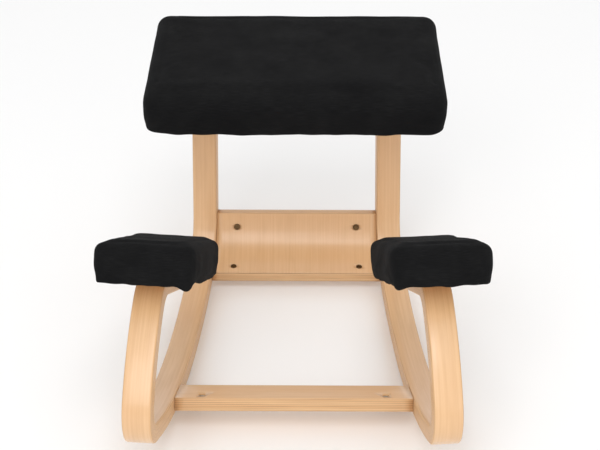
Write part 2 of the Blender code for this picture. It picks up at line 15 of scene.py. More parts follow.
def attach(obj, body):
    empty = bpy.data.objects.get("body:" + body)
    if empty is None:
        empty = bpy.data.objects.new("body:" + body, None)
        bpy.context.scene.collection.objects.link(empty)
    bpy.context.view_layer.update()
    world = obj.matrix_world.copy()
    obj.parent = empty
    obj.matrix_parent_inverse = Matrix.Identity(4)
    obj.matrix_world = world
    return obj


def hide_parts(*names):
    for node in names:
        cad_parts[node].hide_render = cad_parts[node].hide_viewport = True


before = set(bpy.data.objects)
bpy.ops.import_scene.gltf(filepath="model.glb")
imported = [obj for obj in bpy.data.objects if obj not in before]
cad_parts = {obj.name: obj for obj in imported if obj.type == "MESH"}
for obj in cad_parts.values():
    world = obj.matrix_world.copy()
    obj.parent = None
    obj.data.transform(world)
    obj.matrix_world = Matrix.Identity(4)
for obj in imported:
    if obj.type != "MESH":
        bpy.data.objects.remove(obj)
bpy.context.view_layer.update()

MM = 0.001
ROOT_BODY = "root"
SIDES = (("left", -1), ("right", 1))

# Side frame, as in the CAD
ORIGIN_SHIFT = 312.97 * MM        # the CAD moves station 0 back by this, to stand over its origin
STRIP_WIDTH = 41.5 * MM
STRIP_THICKNESS = 28 * MM
ARRIS = 3.2 * MM                  # radius of the softened edges
SPLAY = math.radians(4.9)
HALF_SPREAD = 138 * MM
RUNNER_RADIUS = 800 * MM
CONTACT_STATION = 261.5 * MM
RUNNER_FLAT = 1.4 * MM            # depth taken off the runner where it stands
RUNNER_FRONT_DEG = 28.4
RUNNER_REAR_DEG = 12.7
FRONT_BEND_RADIUS = 43 * MM
FRONT_BEND_DEG = 97.1
ARM_RADIUS = 295 * MM
ARM_DEG = 28.0
HOOK_RADIUS = 56 * MM
KNEE_TILT_DEG = 29.5
KNEE_REST_LENGTH = 120 * MM
REAR_BEND_RADIUS = 89 * MM
UPRIGHT_LEAN_DEG = 9.2
UPRIGHT_LENGTH = 233.5 * MM
TOP_BEND_RADIUS = 45 * MM
SEAT_TILT_DEG = 1.9
SEAT_REST_LENGTH = 150 * MM

# Steps along the strip's centre line
PATH_STEP = 4 * MM
STRAIGHT_STEP = 3 * PATH_STEP
ARC_STEP_DEG = 2.5
LEAST_ARC_STEPS = 6

# Back plate and crossbar
PLATE_THICKNESS = 18.5 * MM
PLATE_TOP_HEIGHT = 105.9 * MM
PLATE_FRONT_STATION = 108.2 * MM
PLATE_NUT_SPOTS = ((25 * MM, 83 * MM), (88 * MM, 34.5 * MM))
PLATE_NUT_INSET = 36 * MM
PLATE_ARRIS = 1.3 * MM
PLATE_ARRIS_STEPS = 3
BAR_THICKNESS = 21.5 * MM
BAR_DEPTH = 54.5 * MM
BAR_SPOT = (474 * MM, 42 * MM)
BAR_NUT_INSET = 40 * MM
BAR_BOLT_OFFSET = 12 * MM
BAR_ARRIS = 1.6 * MM
BARREL_HOLE_RADIUS = 5.3 * MM
BORE_FLOOR = 0.5 * MM             # wood left under a barrel nut's hole
BORE_OVERRUN = 10 * MM            # a counterbore's cutter ends this far outside the strip
BORE_SIDES = 40
COUNTERBORE_DEPTH = 3.7 * MM
COUNTERBORE_RADIUS = 8.2 * MM
PANEL_GAP = 0.3 * MM              # between a panel's end and the side frame
PANEL_COLUMNS = 24

# Cushions
SEAT_SIZE = (466 * MM, 306 * MM)
SEAT_HEIGHT = 56.6 * MM           # from the board's underside to the top of the cover
SEAT_CORNER = 24 * MM             # corner radius, seen from above
SEAT_ROLL = 17 * MM               # rounding of the upper edges
SEAT_FRONT = (48 * MM, 16 * MM)   # the top slopes down this near the front edge, by this much
SEAT_REAR_STATION = -43 * MM
KNEE_SIZE = (143 * MM, 265 * MM)
KNEE_HEIGHT = 50.1 * MM
KNEE_CORNER = 18 * MM
KNEE_ROLL = 14 * MM
KNEE_FRONT = (34 * MM, 5 * MM)
KNEE_FRONT_STATION = 588 * MM
KNEE_INWARD = 2.5 * MM
SKIRT = 8 * MM                    # the cover hangs this far below the board
BOARD_TOP = 14 * MM               # the front's slope fades out down to this level
TUCK = 3.5 * MM                   # the hem draws in this much
TUCK_HEIGHT = 24 * MM             # over this height of the side
CORNER_LIFT = 3.5 * MM            # and rises this much at the corners
HEM_RADIUS = 4 * MM
LIP = 16 * MM                     # turned in under the board
LIP_TOP = 2.2 * MM                # the lip's edge ends this far below the board
CLOTH_GRID = 5 * MM
FABRIC_THICKNESS = 1.2 * MM

# Cloth simulation that puffs the covers out
CLOTH = {"quality": 5, "mass": 0.25, "tension_stiffness": 18, "compression_stiffness": 6,
         "shear_stiffness": 5, "bending_stiffness": 0.35, "use_pressure": True,
         "uniform_pressure_force": 4.0}
CLOTH_FRAMES = 20
PINNED_BELOW = -1 * MM            # the hem doesn't move
SEAT_CROWN = 5 * MM               # the most a point may move
KNEE_CROWN = 4.5 * MM

# Wrinkles. Each field is a sum of smooth noise: (seed offset, bumps per metre, share)
CLOUD_WAVES = ((4, 13.0, 1.0), (5, 29.0, 0.5))
GATHER_WAVES = ((0, 62.0, 1.0), (9, 120.0, 0.5))
PLEAT_WAVES = ((21, 95.0, 1.0),)
SWAY_WAVES = ((40, 24.0, 1.0), (44, 58.0, 0.6))
CLOUD_DEPTH = 1.1 * MM            # unevenness everywhere
GATHER_DEPTH = 1.5 * MM           # gathers above the hem
GATHER_HEIGHT = 0.62              # which fade out at this share of the cushion's height
GATHER_STRETCH = 0.25             # a low value draws the field out upwards
PLEAT_DEPTH = 1.6 * MM            # folds at the corners
PLEAT_STRETCH = 0.12
CORNER_REACH = 70 * MM            # how far the corners' folds spread
SWAY_DEPTH = 2.4 * MM             # the hem's rise and fall
SWAY_HEIGHT = 26 * MM
SEAT_SEED, SEAT_WRINKLES = 3.0, 0.9
KNEE_SEED, KNEE_SEED_STEP, KNEE_WRINKLES = 11.0, 5, 1.25

# Colours
WOOD_LIGHT = (0.74, 0.475, 0.250)
WOOD_MID = (0.66, 0.395, 0.192)
WOOD_DARK = (0.50, 0.27, 0.115)
WOOD_WARM = (0.72, 0.425, 0.22)
GLUE_LINE = (0.24, 0.10, 0.040)
BOARD_LIGHT = (0.62, 0.42, 0.24)
BOARD_MID = (0.45, 0.27, 0.13)
BOARD_DARK = (0.38, 0.22, 0.11)
THREAD_DARK = (0.0042, 0.0042, 0.0044)
THREAD_LIGHT = (0.0125, 0.0125, 0.0128)
THREAD_SHADE = (0.004, 0.004, 0.0045)
LINT = (0.024, 0.024, 0.0245)
SHEEN = (0.55, 0.57, 0.62, 1.0)
BRONZE_TONES = ((0.20, 0.12, 0.055), (0.09, 0.052, 0.028))
ZINC_TONES = ((0.66, 0.66, 0.64), (0.46, 0.46, 0.45))
FLOOR_TONES = ((0.97, 0.97, 0.97), (0.95, 0.95, 0.95))
WHITE = (1.0, 1.0, 1.0, 1.0)

# Patterns
PLY_PITCH = 1.55 * MM             # in the side strips
PLATE_PLY_SCALE = 0.42            # under 1 gives thicker plies
BAR_PLY_SCALE = 0.52
PLIES_SHOW = 0.55                 # slope of a section's side past which its plies show
STRIP_GRAIN_STEP = 3.0            # each piece reads its own part of the grain
STRIP_ROW_STEP = 0.2
BAR_GRAIN_START, BAR_PLY_START = 7.0, 4.0
BAR_UNDERSIDE_SHIFT = 0.3
BAR_PLY_STRETCH = 0.6
EDGE_SKEW = 0.2
WEAVE_PITCH = 1.1 * MM

# Studio
FLOOR_HALF, FLOOR_CELLS = 6.0, 12
WORLD_STRENGTH = 0.90
LIGHTS = (                        # name, place, aim, size, watts
    ("key", (-0.6, -2.4, 2.3), (0.0, -0.1, 0.3), 1.3, 20.0),
    ("fill", (1.6, -2.4, 1.3), (0.0, 0.0, 0.3), 1.8, 5.0),
    ("top", (0.1, -1.6, 2.9), (0.0, 0.0, 0.1), 0.9, 14.0),
)
CAMERA_PLACE = (0.0215, -2.2764 + ORIGIN_SHIFT, 1.4473)
CAMERA_DOWN_DEG = 31.19
CAMERA_TURN_DEG = 0.395
CAMERA_LENS = 89.07
SENSOR_WIDTH = 36.0
CLIP_START = 0.05


# ---------------------------------------------------------------- the strip's centre line

def step_arc(point, heading, radius, degrees, turn):
    """Points and headings along an arc. turn is 1 to the left and -1 to the right."""
    normal = Vector((-math.sin(heading), math.cos(heading))) * turn
    centre = point + normal * radius
    angle = math.radians(degrees)
    count = max(LEAST_ARC_STEPS, round(radius * angle / PATH_STEP), round(degrees / ARC_STEP_DEG))
    made = []
    for i in range(1, count + 1):
        bearing = heading + turn * angle * i / count
        side = Vector((-math.sin(bearing), math.cos(bearing))) * turn
        made.append((centre - side * radius, bearing))
    return made


def step_line(point, heading, length):
    count = max(1, round(length / STRAIGHT_STEP))
    along = Vector((math.cos(heading), math.sin(heading)))
    return [(point + along * length * i / count, heading) for i in range(1, count + 1)]


def walk(start, heading, steps):
    """Follow arcs and straights one after another."""
    path = [(start, heading)]
    for kind, *sizes in steps:
        point, bearing = path[-1]
        path += step_arc(point, bearing, *sizes) if kind == "arc" else step_line(point, bearing, *sizes)
    return path


def strip_path():
    """(point, heading) pairs from the seat arm's tip round to the knee rest's tip."""
    ground = Vector((CONTACT_STATION, STRIP_THICKNESS / 2 - RUNNER_FLAT))
    runner = RUNNER_RADIUS - STRIP_THICKNESS / 2
    hook = 180 + KNEE_TILT_DEG - RUNNER_FRONT_DEG - FRONT_BEND_DEG - ARM_DEG
    forward = walk(ground, 0.0, (
        ("arc", runner, RUNNER_FRONT_DEG, 1), ("arc", FRONT_BEND_RADIUS, FRONT_BEND_DEG, 1),
        ("arc", ARM_RADIUS, ARM_DEG, 1), ("arc", HOOK_RADIUS, hook, 1), ("line", KNEE_REST_LENGTH)))
    upright = 90 + UPRIGHT_LEAN_DEG
    backward = walk(ground, math.pi, (
        ("arc", runner, RUNNER_REAR_DEG, -1),
        ("arc", REAR_BEND_RADIUS, 180 - RUNNER_REAR_DEG - upright, -1),
        ("line", UPRIGHT_LENGTH), ("arc", TOP_BEND_RADIUS, upright + SEAT_TILT_DEG, -1),
        ("line", SEAT_REST_LENGTH)))
    return [(point, heading + math.pi) for point, heading in reversed(backward)] + forward[1:]


PATH = strip_path()


def nearest(station, height):
    """The centre line's point and heading nearest to a spot."""
    spot = Vector((station, height))
    best = None
    for (start, bearing), (end, following) in zip(PATH, PATH[1:]):
        run = end - start
        share = min(max((spot - start).dot(run) / run.length_squared, 0.0), 1.0)
        point = start + run * share
        far = (spot - point).length
        if best is None or far < best[0]:
            best = (far, point, bearing + (following - bearing) * share)
    return best[1], best[2]


def to_world(side, station, height, outward):
    """A place in a side frame; outward is measured from the frame's inner face."""
    x = HALF_SPREAD + station * math.sin(SPLAY) + outward * math.cos(SPLAY)
    y = -station * math.cos(SPLAY) + outward * math.sin(SPLAY)
    return Vector((side * x, y + ORIGIN_SHIFT, height))


def panel_normal(side, normal):
    """A direction in a side frame's plane, given as (station, height)."""
    return Vector((side * normal.x * math.sin(SPLAY), -normal.x * math.cos(SPLAY), normal.y))


# ---------------------------------------------------------------- materials

class Nodes:
    """A short way to write a material's node tree."""

    def __init__(self, name):
        self.material = bpy.data.materials.new(name)
        self.material.use_nodes = True
        self.tree = self.material.node_tree
        self.shader = self.tree.nodes["Principled BSDF"]

    def add(self, kind, settings=(), **inputs):
        node = self.tree.nodes.new(kind)
        for key, value in dict(settings).items():
            setattr(node, key, value)
        for key, value in inputs.items():
            self.feed(node, key.replace("_", " "), value)
        return node

    def feed(self, node, socket, value):
        """Set or link an input, given by name or as i0, i1 and so on by number."""
        by_number = socket[0] == "i" and socket[1:].isdigit()
        target = node.inputs[int(socket[1:]) if by_number else socket]
        if isinstance(value, bpy.types.NodeSocket):
            self.tree.links.new(value, target)
        else:
            target.default_value = value

    def surface(self, **inputs):
        """Set or link inputs of the material's own shader."""
        for key, value in inputs.items():
            self.feed(self.shader, key.replace("_", " "), value)

    def math(self, operation, a, b=0.0):
        return self.add("ShaderNodeMath", {"operation": operation}, i0=a, i1=b).outputs[0]

    def noise(self, vector, scale, detail=3.0, rough=0.5):
        return self.add("ShaderNodeTexNoise", Vector=vector, Scale=scale, Detail=detail,
                        Roughness=rough).outputs["Fac"]

    def spread(self, value, low, high, to_low=0.0, to_high=1.0):
        """Map low..high to to_low..to_high, and no further."""
        return self.add("ShaderNodeMapRange", {"clamp": True}, i0=value, i1=low, i2=high,
                        i3=to_low, i4=to_high).outputs[0]

    def mix(self, share, a, b):
        """Blend two colours, each a socket or an (r, g, b)."""
        a, b = [(*value, 1.0) if isinstance(value, tuple) else value for value in (a, b)]
        return self.add("ShaderNodeMix", {"data_type": "RGBA"}, i0=share, i6=a, i7=b).outputs[2]

    def plain_uv(self, name):
        return self.add("ShaderNodeUVMap", {"uv_map": name}).outputs[0]

    def uv(self, name, scale):
        return self.add("ShaderNodeMapping", Vector=self.plain_uv(name), Scale=scale).outputs[0]

    def object_coords(self, scale=(1, 1, 1)):
        coords = self.add("ShaderNodeTexCoord").outputs["Object"]
        return self.add("ShaderNodeMapping", Vector=coords, Scale=scale).outputs[0]

    def bump(self, height, strength, distance, before=None):
        node = self.add("ShaderNodeBump", Height=height, Strength=strength, Distance=distance)
        if before is not None:
            self.feed(node, "Normal", before)
        return node.outputs[0]


def wood_face():
    """Lacquered rotary-cut birch: long fine streaks, cloudy figure and short pores."""
    n = Nodes("birch_face")
    streak = n.noise(n.uv("grain", (5.0, 330.0, 1.0)), scale=1.0, detail=4.0, rough=0.6)
    fine = n.noise(n.uv("grain", (22.0, 1500.0, 1.0)), scale=1.0, detail=2.0, rough=0.5)
    cloud = n.noise(n.uv("grain", (7.0, 34.0, 1.0)), scale=1.0, detail=3.0, rough=0.55)
    patch = n.noise(n.object_coords(), scale=4.5, detail=2.0, rough=0.5)
    tone = n.mix(n.spread(streak, 0.36, 0.66), WOOD_LIGHT, WOOD_MID)
    tone = n.mix(n.spread(cloud, 0.50, 0.80, 0.0, 0.42), tone, WOOD_DARK)
    tone = n.mix(n.spread(patch, 0.35, 0.7, 0.0, 0.45), tone, WOOD_WARM)
    pores = n.spread(fine, 0.66, 0.76, 0.0, 0.30)
    tone = n.mix(pores, tone, WOOD_DARK)
    streaks = n.bump(streak, strength=0.18, distance=0.0004)
    n.surface(Base_Color=tone, Roughness=n.spread(cloud, 0.3, 0.8, 0.36, 0.48),
              Coat_Weight=0.70, Coat_Roughness=0.25,
              Normal=n.bump(fine, strength=0.10, distance=0.0002, before=streaks))
    return n.material


def wood_edge():
    """The plies seen on edge: pale and darker layers between thin glue lines."""
    n = Nodes("birch_edge")
    wander = n.noise(n.uv("ply", (3.0, 40.0, 1.0)), scale=1.0, detail=2.0, rough=0.5)
    across = n.add("ShaderNodeSeparateXYZ", Vector=n.plain_uv("ply")).outputs[1]
    pitch = n.math("MULTIPLY", across, 1.0 / PLY_PITCH)
    pitch = n.math("ADD", pitch, n.math("MULTIPLY", wander, 0.5))
    within = n.math("FRACT", pitch)
    layer = n.math("FLOOR", pitch)
    line = n.math("ABSOLUTE", n.math("SUBTRACT", within, 0.5))
    glue = n.spread(line, 0.34, 0.45)
    kind = n.add("ShaderNodeTexWhiteNoise", {"noise_dimensions": "1D"}, W=layer).outputs["Value"]
    streak = n.noise(n.uv("ply", (9.0, 900.0, 1.0)), scale=1.0, detail=3.0, rough=0.6)
    broken = n.noise(n.uv("ply", (16.0, 260.0, 1.0)), scale=1.0, detail=2.0, rough=0.5)
    tone = n.mix(n.spread(kind, 0.2, 0.9, 0.0, 0.75), WOOD_LIGHT, WOOD_MID)
    tone = n.mix(n.spread(streak, 0.42, 0.75, 0.0, 0.45), tone, WOOD_DARK)
    glue_shown = n.math("MULTIPLY", glue, n.spread(broken, 0.35, 0.62, 0.28, 0.80))
    ridges = n.bump(glue, strength=0.25, distance=0.0003)
    n.surface(Base_Color=n.mix(glue_shown, tone, GLUE_LINE),
              Roughness=n.spread(streak, 0.3, 0.8, 0.44, 0.56),
              Coat_Weight=0.18, Coat_Roughness=0.28,
              Normal=n.bump(streak, strength=0.15, distance=0.0003, before=ridges))
    return n.material


def metal(name, tones, roughness):
    """Plated steel with faint handling marks."""
    n = Nodes(name)
    marks = n.noise(n.object_coords(), scale=260.0, detail=4.0, rough=0.65)
    n.surface(Base_Color=n.mix(n.spread(marks, 0.35, 0.7), *tones), Metallic=1.0,
              Roughness=n.spread(marks, 0.3, 0.7, roughness, roughness + 0.18),
              Normal=n.bump(marks, strength=0.12, distance=0.0002))
    return n.material


def board_wood():
    """The rough birch board inside a cushion, seen from underneath."""
    n = Nodes("board_face")
    grain = n.noise(n.object_coords((40.0, 6.0, 40.0)), scale=6.0, detail=5.0, rough=0.6)
    cloud = n.noise(n.object_coords(), scale=9.0, detail=3.0, rough=0.5)
    tone = n.mix(n.spread(grain, 0.35, 0.7), BOARD_LIGHT, BOARD_MID)
    tone = n.mix(n.spread(cloud, 0.45, 0.75, 0.0, 0.4), tone, BOARD_DARK)
    n.surface(Base_Color=tone, Roughness=n.spread(grain, 0.3, 0.7, 0.62, 0.78),
              Normal=n.bump(grain, strength=0.3, distance=0.0005))
    return n.material


def fabric():
    """Black plain-weave cover: crossed threads, slubs, faint lint and a soft sheen."""
    n = Nodes("black_weave")
    parts = n.add("ShaderNodeSeparateXYZ", Vector=n.plain_uv("weave"))
    turns = 2 * math.pi / WEAVE_PITCH
    slub = n.noise(n.object_coords(), scale=85.0, detail=2.0, rough=0.5)
    drift = n.math("MULTIPLY", slub, 1.6)
    warp = n.math("SINE", n.math("ADD", n.math("MULTIPLY", parts.outputs[0], turns), drift))
    weft = n.math("SINE", n.math("ADD", n.math("MULTIPLY", parts.outputs[1], turns), drift))
    weave = n.math("MULTIPLY", warp, weft)
    thread = n.noise(n.uv("weave", (60.0, 1400.0, 1.0)), scale=1.0, detail=2.0, rough=0.6)
    cloud = n.noise(n.object_coords(), scale=16.0, detail=4.0, rough=0.6)
    tone = n.mix(n.spread(weave, -0.6, 0.8), THREAD_DARK, THREAD_LIGHT)
    tone = n.mix(n.spread(thread, 0.45, 0.8, 0.0, 0.6), tone, LINT)
    tone = n.mix(n.spread(cloud, 0.35, 0.75, 0.0, 0.5), tone, THREAD_SHADE)
    crossings = n.bump(weave, strength=0.45, distance=0.0003)
    n.surface(Base_Color=tone, Roughness=n.spread(cloud, 0.3, 0.7, 0.78, 0.92),
              Specular_IOR_Level=0.05, Sheen_Weight=0.012, Sheen_Roughness=0.45, Sheen_Tint=SHEEN,
              Normal=n.bump(thread, strength=0.25, distance=0.0003, before=crossings))
    return n.material


def floor_paint():
    n = Nodes("floor_paint")
    cloud = n.noise(n.object_coords(), scale=1.2, detail=2.0, rough=0.5)
    n.surface(Base_Color=n.mix(cloud, *FLOOR_TONES), Roughness=0.9, Specular_IOR_Level=0.1)
    return n.material


FACE = wood_face()
EDGE = wood_edge()
BOARD = board_wood()
WEAVE = fabric()
BRONZE = metal("bronzed_steel", BRONZE_TONES, 0.34)
ZINC = metal("zinc_steel", ZINC_TONES, 0.30)


# ---------------------------------------------------------------- mesh helpers

def finish_piece(obj, slot, *nodes):
    """Tie a visual piece to its body and hide the CAD nodes it stands for. The slot is not used."""
    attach(obj, ROOT_BODY)
    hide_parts(*nodes)


def object_from(bm, name, materials):
    mesh = bpy.data.meshes.new(name)
    bm.to_mesh(mesh)
    bm.free()
    for surface in materials:
        mesh.materials.append(surface)
    made = bpy.data.objects.new(name, mesh)
    bpy.context.scene.collection.objects.link(made)
    return made


def apply_modifiers(obj):
    bpy.context.view_layer.update()
    evaluated = obj.evaluated_get(bpy.context.evaluated_depsgraph_get())
    done = bpy.data.meshes.new_from_object(evaluated)
    obj.modifiers.clear()
    obj.data = done


def cut(obj, tools):
    """Subtract tools from an object for good."""
    for tool in tools:
        boolean = obj.modifiers.new("cut", "BOOLEAN")
        boolean.operation = "DIFFERENCE"
        boolean.solver = "EXACT"
        boolean.object = tool
    apply_modifiers(obj)
    for tool in tools:
        bpy.data.objects.remove(tool)


def bore(radius, start, end):
    """A cylinder to cut a hole with."""
    bm = bmesh.new()
    axis = end - start
    bmesh.ops.create_cone(bm, cap_ends=True, segments=BORE_SIDES, radius1=radius, radius2=radius,
                          depth=axis.length)
    turn = axis.normalized().to_track_quat("Z", "Y").to_matrix().to_4x4()
    bmesh.ops.transform(bm, matrix=Matrix.Translation((start + end) / 2) @ turn, verts=bm.verts)
    return object_from(bm, "bore", (EDGE,))


def lofted(name, rings, face_uvs, is_edge):
    """A closed body through rings of points, with grain and ply coordinates.

    face_uvs(ring, i) gives ((grain u, v), (ply u, v)) for a point; is_edge(i) says whether
    the face after section point i shows the plies on edge.
    """
    bm = bmesh.new()
    grain = bm.loops.layers.uv.new("grain")
    ply = bm.loops.layers.uv.new("ply")
    verts = [[bm.verts.new(point) for point in ring] for ring in rings]
    count = len(rings[0])

    def paint(face, corners):
        for loop, (k, i) in zip(face.loops, corners):
            along_face, along_ply = face_uvs(k, i)
            loop[grain].uv = along_face
            loop[ply].uv = along_ply

    for k in range(len(rings) - 1):
        for i in range(count):
            j = (i + 1) % count
            corners = [(k, i), (k, j), (k + 1, j), (k + 1, i)]
            face = bm.faces.new([verts[a][b] for a, b in corners])
            face.material_index = 1 if is_edge(i) else 0
            face.smooth = True
            paint(face, corners)
    for k in (0, len(rings) - 1):
        corners = [(k, i) for i in range(count)]
        face = bm.faces.new([verts[a][b] for a, b in corners])
        face.material_index = 1
        paint(face, corners)
    bmesh.ops.recalc_face_normals(bm, faces=bm.faces)
    return object_from(bm, name, (FACE, EDGE))


def rounded_section(width, half, radius, spans, steps=4):
    """(outward, across the plies) round a strip's section, with steps round each arris and
    spans along each side."""
    corners = ((width - radius, half - radius, 0), (radius, half - radius, 90),
               (radius, radius - half, 180), (width - radius, radius - half, 270))
    made = []
    for k, (cu, cv, start) in enumerate(corners):
        for i in range(steps + 1):
            angle = math.radians(start + 90 * i / steps)
            made.append((cu + radius * math.cos(angle), cv + radius * math.sin(angle)))
        nu, nv, following = corners[(k + 1) % 4]
        last = made[-1]
        turn = math.radians(following)
        first = (nu + radius * math.cos(turn), nv + radius * math.sin(turn))
        for i in range(1, spans):
            share = i / spans
            made.append((last[0] + (first[0] - last[0]) * share, last[1] + (first[1] - last[1]) * share))
    return made


def shows_plies(section):
    """Whether each side of a section, from a point to the next, shows the plies on edge."""
    pairs = zip(section, section[1:] + section[:1])
    return [abs(v1 - v0) > PLIES_SHOW * abs(u1 - u0) for (u0, v0), (u1, v1) in pairs]


def side_strip(name, side):
    """One bent strip with softened arrises and the counterbores of its bolts."""
    half = STRIP_THICKNESS / 2
    section = rounded_section(STRIP_WIDTH, half, ARRIS, spans=3)
    rings, lengths, run = [], [], 0.0
    previous = None
    for point, heading in PATH:
        if previous is not None:
            run += (point - previous).length
        previous = point
        lengths.append(run)
        across = Vector((-math.sin(heading), math.cos(heading)))
        ring = []
        for outward, through in section:
            spot = point + across * through
            ring.append(to_world(side, spot.x, max(spot.y, 0.0), outward))
        rings.append(ring)
    plies = shows_plies(section)

    def uvs(k, i):
        outward, through = section[i]
        row = outward + (STRIP_WIDTH if through < 0 else 0.0) + (side + 1) * STRIP_ROW_STEP
        on_ply = (lengths[k] + outward * EDGE_SKEW, through + half + side)
        return (lengths[k] + side * STRIP_GRAIN_STEP, row), on_ply

    made = lofted(name, rings, uvs, lambda i: plies[i])
    cut(made, [bore(COUNTERBORE_RADIUS,
                    to_world(side, spot.x, spot.y, STRIP_WIDTH - COUNTERBORE_DEPTH),
                    to_world(side, spot.x, spot.y, STRIP_WIDTH + BORE_OVERRUN))
               for spot in frame_bolt_spots()])
    return made


def bar_frame():
    """The crossbar's middle, its direction along the runner and its upward normal."""
    on_line, heading = nearest(*BAR_SPOT)
    forward = Vector((math.cos(heading), math.sin(heading)))
    up = Vector((-math.sin(heading), math.cos(heading)))
    return on_line + up * (STRIP_THICKNESS - BAR_THICKNESS) / 2, forward, up


def frame_bolt_spots():
    """(station, height) of the bolts that pass through each side frame."""
    middle, forward, _ = bar_frame()
    return [nearest(*spot)[0] for spot in PLATE_NUT_SPOTS] + [middle + forward * BAR_BOLT_OFFSET]


def spanning_panel(name, outline, edge_flags, coords):
    """A panel from one frame's inner face to the other's.

    outline is its edge-on section, edge_flags says where the plies show, and coords holds two
    functions a point, from x to the grain's (u, v) and to the plies' (u, v).
    """
    rings = []
    for k in range(PANEL_COLUMNS + 1):
        share = k / PANEL_COLUMNS
        ring = []
        for station, height in outline:
            left = to_world(-1, station, height, -PANEL_GAP)
            right = to_world(1, station, height, -PANEL_GAP)
            ring.append(left.lerp(right, share))
        rings.append(ring)

    def uvs(k, i):
        x = rings[k][i].x
        return coords[i][0](x), coords[i][1](x)

    return lofted(name, rings, uvs, lambda i: edge_flags[i])


def nut_bore(side, spot, normal, inset, half):
    """The hole of a barrel nut in a panel 2 * half thick, open at its upper face only."""
    axis = panel_normal(side, normal)
    at = to_world(side, spot.x, spot.y, -inset)
    return bore(BARREL_HOLE_RADIUS, at - axis * (half - BORE_FLOOR), at + axis * 2 * half)


# ---------------------------------------------------------------- back plate and crossbar

def plate_middle():
    """The curved panel's middle line, from its top end to its front end."""
    top, _ = nearest(0.0, PLATE_TOP_HEIGHT)
    middle = [(top, nearest(top.x, top.y)[1])]
    for point, heading in PATH:
        if point.y < PLATE_TOP_HEIGHT and point.x < PLATE_FRONT_STATION:
            middle.append((point, heading))
        elif len(middle) > 1:
            break
    last, _ = nearest(PLATE_FRONT_STATION, middle[-1][0].y)
    middle.append((last, nearest(last.x, last.y)[1]))
    return middle


def back_plate():
    """The curved panel: grain runs round the bend and plies show at both cut ends."""
    middle = plate_middle()
    half = PLATE_THICKNESS / 2
    spots, run, previous = [], 0.0, None
    for point, heading in middle:
        run += 0.0 if previous is None else (point - previous).length
        previous = point
        spots.append((point, Vector((-math.sin(heading), math.cos(heading))), run))
    first_way = Vector((math.cos(middle[0][1]), math.sin(middle[0][1])))
    last_way = Vector((math.cos(middle[-1][1]), math.sin(middle[-1][1])))

    outline, flags, coords = [], [], []

    def put(spot, through, along, edge):
        outline.append(tuple(spot))
        flags.append(edge)
        coords.append((lambda x, a=along: (a, x),
                       lambda x, t=through: (x, (t + half) * PLATE_PLY_SCALE)))

    def put_end(point, across, way, start, along):
        """A cut end with both arrises rounded, from the face on the start side to the other."""
        rising = range(PLATE_ARRIS_STEPS + 1)
        for sign, steps in ((start, rising), (-start, reversed(rising))):
            for i in steps:
                angle = math.radians(90 * i / PLATE_ARRIS_STEPS)
                lift = (half - PLATE_ARRIS + PLATE_ARRIS * math.cos(angle)) * sign
                out = PLATE_ARRIS * math.sin(angle)
                put(point + across * lift + way * (out - PLATE_ARRIS), lift, along, True)
        flags[-1] = False

    for point, across, along in spots[1:-1]:
        put(point + across * half, half, along, False)
    put_end(spots[-1][0], spots[-1][1], last_way, 1, run)
    for point, across, along in reversed(spots[1:-1]):
        put(point + across * -half, -half, -along, False)
    put_end(spots[0][0], spots[0][1], -first_way, -1, 0.0)
    made = spanning_panel("back_plate_visual", outline, flags, coords)
    tools = []
    for _, side in SIDES:
        for station, height in PLATE_NUT_SPOTS:
            at, heading = nearest(station, height)
            normal = Vector((-math.sin(heading), math.cos(heading)))
            tools.append(nut_bore(side, at, normal, PLATE_NUT_INSET, half))
    cut(made, tools)
    finish_piece(made, "birch_lacquered", "back_plate")


def crossbar():
    """The straight bar: plies stacked upwards, so they show on its front and rear faces."""
    middle, forward, up = bar_frame()
    half = BAR_THICKNESS / 2
    section = rounded_section(BAR_DEPTH, half, BAR_ARRIS, spans=2)
    outline, coords = [], []
    for along, through in section:
        outline.append(tuple(middle + forward * (along - BAR_DEPTH / 2) + up * through))
        row = along + (BAR_UNDERSIDE_SHIFT if through < 0 else 0.0)
        coords.append((lambda x, v=row: (x + BAR_GRAIN_START, v),
                       lambda x, t=through: (x * BAR_PLY_STRETCH + BAR_PLY_START,
                                             (t + half) * BAR_PLY_SCALE)))
    made = spanning_panel("crossbar_visual", outline, shows_plies(section), coords)
    spot = middle + forward * BAR_BOLT_OFFSET
    cut(made, [nut_bore(side, spot, up, BAR_NUT_INSET, half) for _, side in SIDES])
    finish_piece(made, "birch_lacquered", "crossbar")


# ---------------------------------------------------------------- cushions

def settle(share):
    """A smooth step from 0 to 1."""
    share = max(0.0, min(1.0, share))
    return share * share * (3 - 2 * share)


def hem_profile():
    """(inward, height) of the folded hem and the lip that lies under the board."""
    made = []
    for degrees in (30, 65, 100, 135, 165):
        angle = math.radians(degrees)
        made.append((HEM_RADIUS * (1 - math.cos(angle)), -SKIRT + HEM_RADIUS * (1 - math.sin(angle))))
    made.append((0.6 * LIP, -SKIRT * 0.35))
    made.append((LIP, -LIP_TOP))
    return made


